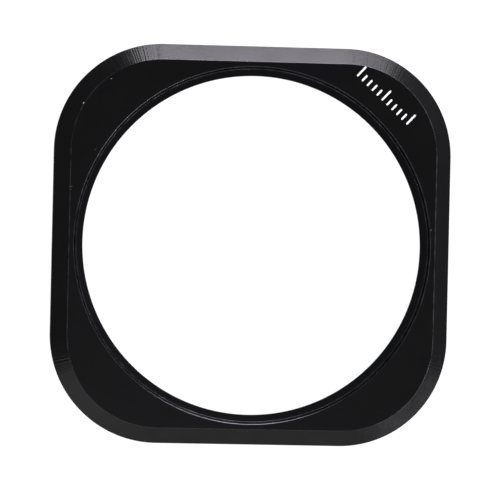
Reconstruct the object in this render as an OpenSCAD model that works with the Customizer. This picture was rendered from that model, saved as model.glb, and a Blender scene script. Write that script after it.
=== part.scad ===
// Twist-on UV filter for a small action camera: a rounded-square milled frame, a round glass
// held down by a bevelled ring, and a twist-lock collar with a silicone seal behind.
// It lies on the end of its collar with the front face up. Z = 0 is that end, and the optical
// axis is Z. All sizes are in millimetres.

/* [Glass] */
// Diameter of the glass disc
glass_d = 38; // [24:0.5:60]
// Thickness of the glass disc
glass_t = 1.1; // [0.7:0.05:3]
// Ground bevel round both edges of the glass
glass_bevel = 0.15; // [0.05:0.01:0.3]
// Gap between the rim of the glass and its bore
glass_gap = 0.15; // [0.05:0.01:0.4]

/* [Front of the frame] */
// Width and drop of the 45 degree chamfer round the front
chamfer = 1.73; // [0.4:0.01:2.4]
// Flat face left between the chamfer and the bore, at the middle of a side
face_land = 0.56; // [0.3:0.02:4]
// Radius of the four corners, seen from the front
corner_r = 11.6; // [4:0.1:20]
// Small break where the chamfer meets the face
chamfer_break = 0.05; // [0.02:0.01:0.2]
// Break round the front edge of the bore
bore_break = 0.06; // [0.04:0.01:0.3]
// Break round the back edge of the square plate
back_break = 0.2; // [0.05:0.05:0.4]

/* [Glass seat and retaining ring] */
// How far the top of the retaining ring lies below the front face
ring_recess = 0.4; // [0.1:0.05:2]
// Height of the retaining ring
ring_h = 0.87; // [0.4:0.01:3]
// How far the ring covers the rim of the glass
ring_lap = 0.74; // [0.4:0.02:3]
// Flat top of the ring, outside its sloping flank
ring_land = 0.16; // [0.05:0.01:0.3]
// Upright lip at the foot of the ring's flank
ring_lip = 0.08; // [0.03:0.01:0.3]
// Gap between the ring and its bore
ring_gap = 0.03; // [0.01:0.01:0.1]
// Thickness of the shoulder that carries the glass
seat_t = 0.83; // [0.6:0.01:3]
// How far the shoulder reaches under the glass
seat_lap = 0.5; // [0.3:0.05:3]

/* [Twist-lock collar] */
// Height of the collar behind the plate
collar_h = 2.3; // [2:0.05:6]
// Wall of the collar
collar_wall = 0.9; // [0.6:0.05:1.6]
// Break round the inner and outer edges of the collar's end
collar_break = 0.15; // [0.05:0.01:0.25]
// Number of lugs round the collar
lug_count = 4; // [2:1:6]
// Angle that one lug covers
lug_angle = 24; // [14:1:40]
// How far a lug stands out of the collar
lug_reach = 0.8; // [0.4:0.05:1]
// Thickness of a lug along the axis
lug_t = 0.7; // [0.5:0.05:1]
// Gap from the end of the collar to the lugs
lug_lift = 0.25; // [0.15:0.05:0.5]
// Break round the outer edges of a lug
lug_break = 0.12; // [0.04:0.01:0.2]
// Angle that the lead-in ramp of a lug covers
ramp_angle = 9; // [4:1:10]
// Drop of the lead-in ramp at the tip of a lug
ramp_drop = 0.35; // [0.1:0.05:0.4]
// Angle that the stop near the closed end of a lug covers
stop_angle = 3; // [2:0.5:6]
// Angle from the stop to the closed end of its lug
stop_inset = 0.5; // [0.2:0.1:2]
// Height of the stop above its lug
stop_h = 0.4; // [0.2:0.05:0.6]

/* [Seal] */
// Width of the silicone ring
seal_w = 1.1; // [0.7:0.05:1.8]
// Height of the silicone ring, with its round bead
seal_h = 0.7; // [0.6:0.05:0.9]
// Radius of the bead along the top of the silicone ring
seal_bead_r = 0.3; // [0.15:0.05:0.34]
// Depth of the groove for it in the back of the plate
groove_depth = 0.35; // [0.2:0.05:0.5]
// Gap between the silicone ring and the walls of its groove
seal_gap = 0.03; // [0.01:0.01:0.1]
// Back face left outside the groove, at the middle of a side
groove_rim = 0.64; // [0.4:0.02:1.4]

/* [Hidden] */
$fn = 180;
// How far a cutting shape runs past the surface that it cuts
past = 1;

// Radii, from the glass outwards
glass_r = glass_d / 2;
bore_r = glass_r + glass_gap;
bore_edge_r = bore_r + bore_break;
seat_r = glass_r - seat_lap;
ring_outer_r = bore_r - ring_gap;
ring_inner_r = glass_r - ring_lap;

// The plate, seen from the front
plate_half = bore_edge_r + face_land + chamfer;
plate_corner = min(corner_r, plate_half - chamfer);
corner_at = plate_half - plate_corner;

// Radii behind the plate, from its side inwards
groove_r = plate_half - groove_rim;
seal_outer_r = groove_r - seal_gap;
seal_inner_r = seal_outer_r - seal_w;
collar_r = seal_inner_r - seal_gap;
collar_bore_r = collar_r - collar_wall;
lug_r = collar_r + lug_reach;

// Heights, from the end of the collar upwards
lug_top = lug_lift + lug_t;
plate_z = collar_h;
glass_z = plate_z + seat_t;
ring_z = glass_z + glass_t;
face_z = ring_z + ring_h + ring_recess;
plate_t = face_z - plate_z;

// Section through the rim of the plate, with X = 0 on the centre of the corner's arc
module rim_section() {
    polygon([
        [0, 0],
        [plate_corner - back_break, 0],
        [plate_corner, back_break],
        [plate_corner, plate_t - chamfer],
        [plate_corner - chamfer + chamfer_break / 2, plate_t - chamfer_break / 2],
        [plate_corner - chamfer - chamfer_break, plate_t],
        [0, plate_t],
    ]);
}

// The same section along one straight side and round the corner at its end
module side_and_corner() {
    translate([corner_at, corner_at, 0])
        rotate([90, 0, 0])
            linear_extrude(height = 2 * corner_at)
                rim_section();
    translate([corner_at, corner_at, 0])
        rotate_extrude(angle = 90)
            rim_section();
}

// Square plate with round corners and its chamfer
module plate() {
    translate([-corner_at, -corner_at, 0])
        cube([2 * corner_at, 2 * corner_at, plate_t]);
    for (turn = [0:90:270])
        rotate([0, 0, turn])
            side_and_corner();
}

// Section of the collar's wall, up to the floor of the seal's groove
module collar_section() {
    polygon([
        [collar_bore_r + collar_break, 0],
        [collar_r - collar_break, 0],
        [collar_r, collar_break],
        [collar_r, plate_z + groove_depth],
        [collar_bore_r, plate_z + groove_depth],
        [collar_bore_r, collar_break],
    ]);
}

// Section of a lug, rooted in the middle of the collar's wall
module lug_section() {
    root = collar_r - collar_wall / 2;
    polygon([
        [root, lug_lift],
        [lug_r - lug_break, lug_lift],
        [lug_r, lug_lift + lug_break],
        [lug_r, lug_top - lug_break],
        [lug_r - lug_break, lug_top],
        [root, lug_top],
    ]);
}

// Section of the stop, which stands on the flat of the lug
module stop_section() {
    root = collar_r - collar_wall / 3;
    stop_r = lug_r - 1.5 * lug_break;
    stop_top = lug_top + stop_h;
    polygon([
        [root, lug_top - lug_t / 2],
        [stop_r, lug_top - lug_t / 2],
        [stop_r, stop_top - lug_break],
        [stop_r - lug_break, stop_top],
        [root, stop_top],
    ]);
}

// A flat cut that starts at full height and falls towards the open end of a lug
module ramp_cut() {
    ramp_run = lug_r * sin(ramp_angle);
    rotate([0, 0, ramp_angle - lug_angle / 2])
        translate([collar_r, 0, lug_top])
            rotate([atan(ramp_drop / ramp_run), 0, 0])
                translate([0, -ramp_run - past, 0])
                    cube([lug_reach + past, ramp_run + past, past]);
}

// One lug, centred on the X axis: a ramp leads in at one end and a stop stands near the other
module lug() {
    difference() {
        rotate_extrude(angle = lug_angle, start = -lug_angle / 2)
            lug_section();
        ramp_cut();
    }
    rotate_extrude(angle = stop_angle, start = lug_angle / 2 - stop_angle - stop_inset)
        stop_section();
}

// Everything that the lathe takes out from the front: the bore, the glass seat and the light path
module bore_cut() {
    rotate_extrude()
        polygon([
            [0, -past],
            [seat_r, -past],
            [seat_r, glass_z],
            [bore_r, glass_z],
            [bore_r, face_z - bore_break],
            [bore_edge_r, face_z],
            [bore_edge_r, face_z + past],
            [0, face_z + past],
        ]);
}

// Groove for the seal, in the back of the plate round the collar
module groove_cut() {
    rotate_extrude()
        translate([collar_r, plate_z - past])
            square([groove_r - collar_r, past + groove_depth]);
}

module frame() {
    color([0.10, 0.10, 0.11]) {
        difference() {
            translate([0, 0, plate_z])
                plate();
            groove_cut();
            bore_cut();
        }
        rotate_extrude()
            collar_section();
        for (i = [0:lug_count - 1])
            rotate([0, 0, 45 + i * 360 / lug_count])
                lug();
    }
}

module uv_glass() {
    color([0.90, 0.96, 0.97, 0.35])
        translate([0, 0, glass_z])
            rotate_extrude()
                polygon([
                    [0, 0],
                    [glass_r - glass_bevel, 0],
                    [glass_r, glass_bevel],
                    [glass_r, glass_t - glass_bevel],
                    [glass_r - glass_bevel, glass_t],
                    [0, glass_t],
                ]);
}

module retaining_ring() {
    color([0.07, 0.07, 0.08])
        translate([0, 0, ring_z])
            rotate_extrude()
                polygon([
                    [ring_inner_r, 0],
                    [ring_outer_r, 0],
                    [ring_outer_r, ring_h],
                    [ring_outer_r - ring_land, ring_h],
                    [ring_inner_r, ring_lip],
                ]);
}

// Flat silicone ring whose round bead stands out of the groove, towards the camera
module seal_ring() {
    floor_z = plate_z + groove_depth;
    color([0.14, 0.14, 0.15])
        rotate_extrude() {
            translate([seal_inner_r, floor_z - seal_h + seal_bead_r])
                square([seal_w, seal_h - seal_bead_r]);
            translate([seal_inner_r + seal_w / 2, floor_z - seal_h + seal_bead_r])
                circle(r = seal_bead_r);
        }
}

frame();
uv_glass();
retaining_ring();
seal_ring();
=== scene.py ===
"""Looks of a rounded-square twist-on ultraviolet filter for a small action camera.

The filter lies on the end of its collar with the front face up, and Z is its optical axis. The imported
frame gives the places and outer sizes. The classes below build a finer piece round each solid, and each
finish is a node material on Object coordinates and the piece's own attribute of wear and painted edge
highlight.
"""

import logging
import math
from collections.abc import Sequence
from dataclasses import dataclass
from enum import Enum
from typing import Any

import bmesh
import bpy
from mathutils import Matrix, Vector


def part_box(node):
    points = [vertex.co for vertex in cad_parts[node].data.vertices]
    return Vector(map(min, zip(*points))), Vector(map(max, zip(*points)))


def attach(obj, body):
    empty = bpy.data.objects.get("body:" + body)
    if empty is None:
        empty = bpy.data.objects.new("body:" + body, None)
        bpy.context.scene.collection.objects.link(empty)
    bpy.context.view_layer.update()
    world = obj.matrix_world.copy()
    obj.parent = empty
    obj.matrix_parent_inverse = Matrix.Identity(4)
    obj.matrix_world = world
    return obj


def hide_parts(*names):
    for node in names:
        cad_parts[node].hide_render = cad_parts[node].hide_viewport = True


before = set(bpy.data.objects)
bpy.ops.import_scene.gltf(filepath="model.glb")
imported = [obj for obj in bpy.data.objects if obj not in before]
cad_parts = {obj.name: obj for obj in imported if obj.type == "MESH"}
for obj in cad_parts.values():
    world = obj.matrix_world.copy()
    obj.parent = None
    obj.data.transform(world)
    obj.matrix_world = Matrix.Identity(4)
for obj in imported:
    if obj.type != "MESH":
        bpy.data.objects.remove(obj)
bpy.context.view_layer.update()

MM = 0.001
# Points nearer than this are one point, in metres
WELD = MM / 5000
# Edges that turn more than this stay sharp
SHARP = math.radians(40)
# Attribute that tells how open a point is to rubbing, and where the edge highlight is painted: 1 on a
# fillet, 0 on a flat
WEAR_AND_HIGHLIGHT = "wear_and_highlight"
# Most values of a noise texture lie between these two
NOISE_LOW = 0.3
NOISE_HIGH = 0.7

log = logging.getLogger("uv_filter")


def linear(code: str) -> tuple[float, float, float, float]:
    """Turns an sRGB hex colour into linear light.

    Args:
        code: A colour such as "#1a1a1c".

    Returns:
        Red, green, blue and an alpha of 1.
    """
    parts = [int(code[i : i + 2], 16) / 255 for i in (1, 3, 5)]
    red, green, blue = (c / 12.92 if c <= 0.04045 else ((c + 0.055) / 1.055) ** 2.4 for c in parts)
    return red, green, blue, 1.0


def plug(node: bpy.types.Node, inputs: dict[str | int, Any]) -> None:
    """Sets a node's inputs.

    Args:
        node: The node, in its tree.
        inputs: A value or an output socket for each input, by its name or its place.
    """
    for key, value in inputs.items():
        if isinstance(value, bpy.types.NodeSocket):
            node.id_data.links.new(value, node.inputs[key])
        else:
            node.inputs[key].default_value = value


def add_node(
    tree: bpy.types.NodeTree,
    kind: str,
    settings: dict[str, Any] | None = None,
    inputs: dict[str | int, Any] | None = None,
) -> bpy.types.Node:
    """Adds one node to a tree.

    Args:
        tree: The shader or geometry tree.
        kind: The node's type name.
        settings: Attributes of the node.
        inputs: A value or an output socket for each input, by its name or its place.

    Returns:
        The new node.
    """
    node = tree.nodes.new(kind)
    for name, value in (settings or {}).items():
        setattr(node, name, value)
    plug(node, inputs or {})
    return node


def new_material(name: str) -> tuple[bpy.types.Material, bpy.types.Node]:
    """Makes a node material.

    Args:
        name: The material's name.

    Returns:
        The material and its Principled BSDF.
    """
    material = bpy.data.materials.new(name)
    material.use_nodes = True
    return material, material.node_tree.nodes["Principled BSDF"]


def place_in_mm(tree: bpy.types.NodeTree) -> bpy.types.NodeSocket:
    """Reads the place on a piece from its Object coordinates.

    Args:
        tree: The material's tree.

    Returns:
        The place, in millimetres.
    """
    place = add_node(tree, "ShaderNodeTexCoord").outputs["Object"]
    scaled = add_node(tree, "ShaderNodeVectorMath", {"operation": "SCALE"}, {0: place, "Scale": 1 / MM})
    return scaled.outputs[0]


class Loop(Enum):
    """What a ring of the frame's mesh runs round."""

    SQUARE = "the rounded square of the plate"
    ROUND = "a circle about the optical axis"


class Machining(Enum):
    """How a stretch of black anodised aluminium was cut before it was dyed."""

    BLASTED = 0
    MILLED = 1
    TURNED = 2


@dataclass(frozen=True)
class Corner:
    """One corner of a section, in millimetres.

    out is the distance from the axis, up the height, fillet the radius that rounds the corner, and cut
    the machining of the stretch that follows it.
    """

    out: float
    up: float
    fillet: float = 0.0
    loop: Loop = Loop.ROUND
    cut: Machining = Machining.TURNED


@dataclass(frozen=True)
class Station:
    """One point of a rounded section: its place in millimetres, its loop, its wear and painted edge
    highlight, and its machining.
    """

    out: float
    up: float
    loop: Loop = Loop.ROUND
    wear_and_highlight: float = 0.0
    cut: Machining = Machining.TURNED


def rounded(corners: Sequence[Corner], steps: int = 4, apron: float = 0.12) -> list[Station]:
    """Rounds the corners of a closed section.

    Args:
        corners: The corners in order, either way round.
        steps: Straight steps in each fillet.
        apron: Distance, in millimetres, beyond a fillet at which the flat is held and the wear and painted
            highlight have faded.

    Returns:
        The points of the section. Those on a fillet carry 1 in the mask of wear and painted edge
        highlight.
    """
    stations: list[Station] = []
    for i, here in enumerate(corners):
        before, after = corners[i - 1], corners[(i + 1) % len(corners)]
        if not here.fillet:
            stations.append(Station(here.out, here.up, here.loop, 0.0, here.cut))
            continue
        corner = Vector((here.out, here.up))
        back = Vector((before.out, before.up)) - corner
        ahead = Vector((after.out, after.up)) - corner
        room_back, room_ahead = back.length / 2, ahead.length / 2
        back.normalize()
        ahead.normalize()
        half = back.angle(ahead) / 2
        reach = here.fillet / math.tan(half)
        centre = corner + (back + ahead).normalized() * here.fillet / math.sin(half)
        start, end = corner + back * reach - centre, corner + ahead * reach - centre
        # This angle counts clockwise
        swing = start.angle_signed(end)
        if room_back > reach + apron:
            place = corner + back * (reach + apron)
            stations.append(Station(place.x, place.y, here.loop, 0.0, before.cut))
        for k in range(steps + 1):
            turn = -swing * k / steps
            x = start.x * math.cos(turn) - start.y * math.sin(turn)
            y = start.x * math.sin(turn) + start.y * math.cos(turn)
            cut = here.cut if 2 * k >= steps else before.cut
            stations.append(Station(centre.x + x, centre.y + y, here.loop, 1.0, cut))
        if room_ahead > reach + apron:
            place = corner + ahead * (reach + apron)
            stations.append(Station(place.x, place.y, here.loop, 0.0, here.cut))
    return stations


def object_from(name: str, mesh: bpy.types.Mesh) -> bpy.types.Object:
    """Puts a mesh into the scene as an object at the origin.

    Args:
        name: The object's name.
        mesh: Its mesh.

    Returns:
        The object.
    """
    obj = bpy.data.objects.new(name, mesh)
    bpy.context.scene.collection.objects.link(obj)
    return obj


def settle(obj: bpy.types.Object) -> bpy.types.Object:
    """Applies an object's modifiers.

    Args:
        obj: The object, whose modifiers are live.

    Returns:
        The same object with a plain mesh and no modifier.
    """
    graph = bpy.context.evaluated_depsgraph_get()
    evaluated = obj.evaluated_get(graph)
    plain = bpy.data.meshes.new_from_object(evaluated, preserve_all_data_layers=True, depsgraph=graph)
    obj.modifiers.clear()
    obj.data = plain
    plain.name = obj.name
    return obj


def grow(obj: bpy.types.Object, tree: bpy.types.NodeTree, values: dict[str, Any]) -> bpy.types.Object:
    """Runs a Geometry Nodes tree on an object and keeps the result as a plain mesh.

    Args:
        obj: The object that the tree starts from.
        tree: The geometry tree.
        values: A value for each named input of the tree.

    Returns:
        The same object, with the tree's result as its mesh.
    """
    modifier = obj.modifiers.new(tree.name, "NODES")
    modifier.node_group = tree
    for item in tree.interface.items_tree:
        if item.in_out == "INPUT" and item.name in values:
            modifier[item.identifier] = values[item.name]
    return settle(obj)


def face_outwards(obj: bpy.types.Object) -> None:
    """Merges doubles and turns every face of a closed mesh outwards.

    Args:
        obj: The object with that mesh.
    """
    bm = bmesh.new()
    bm.from_mesh(obj.data)
    bmesh.ops.remove_doubles(bm, verts=bm.verts, dist=WELD)
    bmesh.ops.recalc_face_normals(bm, faces=bm.faces)
    bm.to_mesh(obj.data)
    bm.free()


def absorb(obj: bpy.types.Object, added: bpy.types.Object, place: int) -> None:
    """Takes another object's faces into this one's mesh and removes that object.

    Args:
        obj: The object that takes them.
        added: The object that gives them.
        place: The place of their material among the first object's materials.
    """
    bm = bmesh.new()
    bm.from_mesh(obj.data)
    own = len(bm.faces)
    bm.from_mesh(added.data)
    bm.faces.ensure_lookup_table()
    for face in bm.faces[own:]:
        face.material_index = place
    bm.to_mesh(obj.data)
    bm.free()
    bpy.data.objects.remove(added)


def shade_by_area(obj: bpy.types.Object) -> None:
    """Shades a mesh smooth, with the large faces keeping their true direction up to their fillets.

    Args:
        obj: The object with that mesh.
    """
    obj.data.shade_smooth()
    obj.data.set_sharp_from_angle(angle=SHARP)
    weighted = obj.modifiers.new("area normals", "WEIGHTED_NORMAL")
    weighted.mode = "FACE_AREA"
    weighted.weight = 100
    weighted.keep_sharp = True
    settle(obj)


def report(obj: bpy.types.Object) -> None:
    """Logs a finished piece with its number of triangles.

    Args:
        obj: The piece.
    """
    obj.data.calc_loop_triangles()
    log.info("%s: %d triangles", obj.name, len(obj.data.loop_triangles))


def new_tree(name: str, sockets: dict[str, str]) -> bpy.types.NodeTree:
    """Makes an empty geometry tree.

    Args:
        name: The tree's name.
        sockets: The type of each named input, after the geometry itself.

    Returns:
        The tree, with a group input and a group output.
    """
    tree = bpy.data.node_groups.new(name, "GeometryNodeTree")
    tree.interface.new_socket("Geometry", in_out="INPUT", socket_type="NodeSocketGeometry")
    for label, kind in sockets.items():
        tree.interface.new_socket(label, in_out="INPUT", socket_type=kind)
    tree.interface.new_socket("Geometry", in_out="OUTPUT", socket_type="NodeSocketGeometry")
    return tree


@dataclass(frozen=True)
class Nick:
    """A small knock in the dye: its place and its half sizes, in millimetres.

    turn is the angle that it runs at, in degrees, and bare is the share of metal that it laid open,
    from 0 to 1.
    """

    x: float
    y: float
    z: float
    long: float
    wide: float
    turn: float
    bare: float = 1.0
    deep: float = 0.3


@dataclass(frozen=True)
class BlackAnodisedAluminium:
    """Aluminium with a dyed black oxide skin.

    The eye gets a near-black metal with a soft, broad gloss: blasted stretches look like fine sand,
    milled ones carry faint cutter marks, turned ones carry rings from the lathe. Edges that are handled
    wear to a paler grey, which is also a painted highlight along the edges.
    """

    name: str
    cut: Machining
    # The dye where it took well, where it took less well and where it is rubbed, the last also a painted
    # highlight along the edges, and the metal under it
    colour: str = "#101011"
    pale: str = "#131314"
    worn_and_highlit: str = "#3e3d42"
    bare: str = "#b4b3b7"
    # Tint at a grazing angle, where the dyed oxide stays darker than bare metal
    grazing: str = "#dadadc"
    # Roughness, and how far it strays from that in the patches of paler dye
    roughness: float = 0.42
    roughness_spread: float = 0.03
    patch_mm: float = 2.86
    # Size of the blasting grit, the cutter marks or the lathe's feed
    mark_mm: float = 0.14
    # Height of those marks
    depth_mm: float = 0.004
    # Share of grain in the cutter marks
    grain_share: float = 0.06
    # How much of an edge has worn and is painted paler as a highlight, from 0 to 1, and the share of that
    # between the rubbed patches
    wear_and_highlight: float = 0.5
    least_wear: float = 0.15
    # Size of the rubbed patches, and the noise values between which they set in
    rub_mm: float = 1.111
    rub_noise: tuple[float, float] = (0.38, 0.66)
    # Share of that wear and painted highlight on edges that no finger rubs
    spared: float = 0.2
    # How many times as much the right side has worn as the left; the extra paler colour there is a painted
    # highlight along the right edge
    right_wear_and_highlight: float = 2.2
    # Distance from the middle, aside and up the plate, over which the rubbing by fingers, and with it the
    # painted edge highlight, sets in
    grip_aside: tuple[float, float] = (14.0, 18.5)
    grip_up: tuple[float, float] = (-15.0, -10.0)
    # Centre and radius of the arc of the plate's corners, which the cutter went round in small flats
    corner_mm: float = 0.0
    arc_mm: float = 0.0
    # Share of a nick's size over which its rim fades
    nick_rim: float = 0.25
    nicks: tuple[Nick, ...] = ()

    def make(self) -> bpy.types.Material:
        """Builds the node material.

        Returns:
            The finished material.
        """
        material, shader = new_material(self.name)
        tree = material.node_tree
        mm = place_in_mm(tree)
        patches = add_node(tree, "ShaderNodeTexNoise", None, {
            "Vector": mm, "Scale": 1 / self.patch_mm, "Detail": 3.0, "Roughness": 0.6})
        tone = add_node(tree, "ShaderNodeMix", {"data_type": "RGBA"}, {
            "Factor": patches.outputs["Fac"], 6: linear(self.colour), 7: linear(self.pale)})
        # The paler colour on the fillets is partly wear and partly a painted highlight along the edges
        rubbed = add_node(tree, "ShaderNodeMix", {"data_type": "RGBA"}, {
            "Factor": self.wear_and_highlight_share(tree, mm), 6: tone.outputs[2], 7: linear(self.worn_and_highlit)})
        gloss = add_node(tree, "ShaderNodeMapRange", None, {
            "Value": patches.outputs["Fac"], "From Min": NOISE_LOW, "From Max": NOISE_HIGH,
            "To Min": self.roughness - self.roughness_spread,
            "To Max": self.roughness + self.roughness_spread})
        bump = add_node(tree, "ShaderNodeBump", None, {
            "Strength": 1.0, "Distance": self.depth_mm * MM, "Height": self.marks(tree, mm)})
        plug(shader, {
            "Metallic": 1.0,
            "Specular Tint": linear(self.grazing),
            "Base Color": self.nicked(tree, mm, rubbed.outputs[2]),
            "Roughness": gloss.outputs[0],
            "Normal": bump.outputs[0],
        })
        return material

    def nicked(
        self, tree: bpy.types.NodeTree, mm: bpy.types.NodeSocket, colour: bpy.types.NodeSocket
    ) -> bpy.types.NodeSocket:
        """Lays bare metal over the colour where a nick went through.

        Args:
            tree: The material's tree.
            mm: The place on the piece, in millimetres.
            colour: The colour of the sound skin.

        Returns:
            The colour with its nicks.
        """
        for nick in self.nicks:
            at = add_node(tree, "ShaderNodeMapping", {"vector_type": "TEXTURE"}, {
                "Vector": mm, "Location": (nick.x, nick.y, nick.z),
                "Rotation": (0.0, 0.0, math.radians(nick.turn)),
                "Scale": (nick.long, nick.wide, nick.deep)})
            reach = add_node(tree, "ShaderNodeVectorMath", {"operation": "LENGTH"}, {0: at.outputs[0]})
            share = add_node(tree, "ShaderNodeMapRange", None, {
                "Value": reach.outputs["Value"], "From Min": 1 + self.nick_rim,
                "From Max": 1 - self.nick_rim, "To Max": nick.bare})
            laid = add_node(tree, "ShaderNodeMix", {"data_type": "RGBA"}, {
                "Factor": share.outputs[0], 6: colour, 7: linear(self.bare)})
            colour = laid.outputs[2]
        return colour

    def marks(self, tree: bpy.types.NodeTree, mm: bpy.types.NodeSocket) -> bpy.types.NodeSocket:
        """Makes the relief that the machining left.

        Args:
            tree: The material's tree.
            mm: The place on the piece, in millimetres.

        Returns:
            The height of the relief, from 0 to 1.
        """
        if self.cut is Machining.MILLED:
            return self.cutter_flats(tree, mm)
        if self.cut is Machining.TURNED:
            return self.feed_rings(tree, mm)
        grit = add_node(tree, "ShaderNodeTexNoise", None, {
            "Vector": mm, "Scale": 1 / self.mark_mm, "Detail": 2.0, "Roughness": 0.55})
        return grit.outputs["Fac"]

    def feed_rings(self, tree: bpy.types.NodeTree, mm: bpy.types.NodeSocket) -> bpy.types.NodeSocket:
        """Makes the fine rings that a lathe's tool leaves round the optical axis.

        Args:
            tree: The material's tree.
            mm: The place on the piece, in millimetres.

        Returns:
            The height of the relief, from 0 to 1.
        """
        split = add_node(tree, "ShaderNodeSeparateXYZ", None, {0: mm})
        flat = add_node(tree, "ShaderNodeCombineXYZ", None, {0: split.outputs[0], 1: split.outputs[1]})
        out = add_node(tree, "ShaderNodeVectorMath", {"operation": "LENGTH"}, {0: flat.outputs[0]})
        across = add_node(tree, "ShaderNodeCombineXYZ", None, {
            0: out.outputs["Value"], 1: split.outputs[2]})
        rings = add_node(tree, "ShaderNodeTexNoise", {"noise_dimensions": "2D"}, {
            "Vector": across.outputs[0], "Scale": 1 / self.mark_mm, "Detail": 2.0})
        return rings.outputs["Fac"]

    def cutter_flats(self, tree: bpy.types.NodeTree, mm: bpy.types.NodeSocket) -> bpy.types.NodeSocket:
        """Makes the small flats, across the chamfer, that a cutter leaves round the plate's corners.

        Real ones are about 0.1 mm wide. They are drawn twice as wide, so that they show.

        Args:
            tree: The material's tree.
            mm: The place on the piece, in millimetres.

        Returns:
            The height of the relief, from 0 to 1.
        """
        folded = add_node(tree, "ShaderNodeVectorMath", {"operation": "ABSOLUTE"}, {0: mm})
        corner = (self.corner_mm, self.corner_mm, 0.0)
        beyond = add_node(tree, "ShaderNodeVectorMath", {"operation": "SUBTRACT"}, {
            0: folded.outputs[0], 1: corner})
        kept = add_node(tree, "ShaderNodeVectorMath", {"operation": "MAXIMUM"}, {
            0: beyond.outputs[0], 1: (0.0, 0.0, 0.0)})
        split = add_node(tree, "ShaderNodeSeparateXYZ", None, {0: kept.outputs[0]})
        turn = add_node(tree, "ShaderNodeMath", {"operation": "ARCTAN2"}, {
            0: split.outputs[1], 1: split.outputs[0]})
        along = add_node(tree, "ShaderNodeMath", {"operation": "MULTIPLY"}, {
            0: turn.outputs[0], 1: self.arc_mm / self.mark_mm})
        flats = add_node(tree, "ShaderNodeTexNoise", {"noise_dimensions": "1D"}, {
            "W": along.outputs[0], "Scale": 1.0, "Detail": 1.0})
        grain = add_node(tree, "ShaderNodeTexNoise", None, {
            "Vector": mm, "Scale": 1 / self.mark_mm, "Detail": 1.0})
        height = add_node(tree, "ShaderNodeMix", {"data_type": "FLOAT"}, {
            "Factor": self.grain_share, 2: flats.outputs["Fac"], 3: grain.outputs["Fac"]})
        return height.outputs[0]

    def wear_and_highlight_share(self, tree: bpy.types.NodeTree, mm: bpy.types.NodeSocket) -> bpy.types.NodeSocket:
        """Works out how far the fillets are painted paler, as wear and as a painted highlight along the
        edges, most where fingers grip the two sides.

        Args:
            tree: The material's tree.
            mm: The place on the piece, in millimetres.

        Returns:
            The share of worn metal and painted edge highlight, from 0 to 1.
        """
        edge = add_node(tree, "ShaderNodeAttribute", {"attribute_name": WEAR_AND_HIGHLIGHT})
        rubbed = add_node(tree, "ShaderNodeTexNoise", None, {
            "Vector": mm, "Scale": 1 / self.rub_mm, "Detail": 4.0, "Roughness": 0.65})
        patchy = add_node(tree, "ShaderNodeMapRange", None, {
            "Value": rubbed.outputs["Fac"], "From Min": self.rub_noise[0], "From Max": self.rub_noise[1],
            "To Min": self.least_wear * self.wear_and_highlight, "To Max": self.wear_and_highlight})
        split = add_node(tree, "ShaderNodeSeparateXYZ", None, {0: mm})
        aside = add_node(tree, "ShaderNodeMath", {"operation": "ABSOLUTE"}, {0: split.outputs[0]})
        beside = add_node(tree, "ShaderNodeMapRange", None, {
            "Value": aside.outputs[0], "From Min": self.grip_aside[0], "From Max": self.grip_aside[1]})
        above = add_node(tree, "ShaderNodeMapRange", None, {
            "Value": split.outputs[1], "From Min": self.grip_up[0], "From Max": self.grip_up[1]})
        gripped = add_node(tree, "ShaderNodeMath", {"operation": "MULTIPLY"}, {
            0: beside.outputs[0], 1: above.outputs[0]})
        more = add_node(tree, "ShaderNodeMapRange", None, {
            "Value": split.outputs[0], "From Min": self.grip_aside[0], "From Max": self.grip_aside[1],
            "To Min": 1.0, "To Max": self.right_wear_and_highlight})
        grip = add_node(tree, "ShaderNodeMapRange", None, {
            "Value": gripped.outputs[0], "To Min": self.spared, "To Max": more.outputs[0]})
        handled = add_node(tree, "ShaderNodeMath", {"operation": "MULTIPLY"}, {
            0: patchy.outputs[0], 1: grip.outputs[0]})
        share = add_node(tree, "ShaderNodeMath", {"operation": "MULTIPLY", "use_clamp": True}, {
            0: edge.outputs["Fac"], 1: handled.outputs[0]})
        return share.outputs[0]


@dataclass(frozen=True)
class CoatedGlass:
    """Polished flat glass with an anti-reflection coating.

    The eye sees straight through it. The coating leaves a faint violet reflection at a low angle.
    """

    name: str = "polished_coated_glass"
    clear: str = "#ffffff"
    tint: str = "#fdfefe"
    index: float = 1.52
    # A quarter of a wave of green light in the coating
    film_nm: float = 100.0
    film_index: float = 1.38
    # Level of the reflection that the coating leaves, where 0.5 is that of bare glass
    reflection: float = 0.2
    # Size of the smears from wiping, and the roughness of the strongest
    smear_mm: float = 8.33
    smear_roughness: float = 0.03

    def make(self) -> bpy.types.Material:
        """Builds the node material.

        Returns:
            The finished material, which lets the lamps' light straight through.
        """
        material, shader = new_material(self.name)
        tree = material.node_tree
        smears = add_node(tree, "ShaderNodeTexNoise", None, {
            "Vector": place_in_mm(tree), "Scale": 1 / self.smear_mm, "Detail": 5.0, "Roughness": 0.6,
            "Distortion": 1.5})
        haze = add_node(tree, "ShaderNodeMapRange", None, {
            "Value": smears.outputs["Fac"], "From Min": 0.45, "From Max": 0.8,
            "To Max": self.smear_roughness})
        tone = add_node(tree, "ShaderNodeMix", {"data_type": "RGBA"}, {
            "Factor": smears.outputs["Fac"], 6: linear(self.clear), 7: linear(self.tint)})
        plug(shader, {
            "Transmission Weight": 1.0,
            "IOR": self.index,
            "Thin Film Thickness": self.film_nm,
            "Thin Film IOR": self.film_index,
            "Specular IOR Level": self.reflection,
            "Roughness": haze.outputs[0],
            "Base Color": tone.outputs[2],
        })
        lamp_ray = add_node(tree, "ShaderNodeLightPath").outputs["Is Shadow Ray"]
        clear = add_node(tree, "ShaderNodeBsdfTransparent")
        through = add_node(tree, "ShaderNodeMixShader", None, {
            0: lamp_ray, 1: shader.outputs[0], 2: clear.outputs[0]})
        plug(tree.nodes["Material Output"], {"Surface": through.outputs[0]})
        return material


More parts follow.
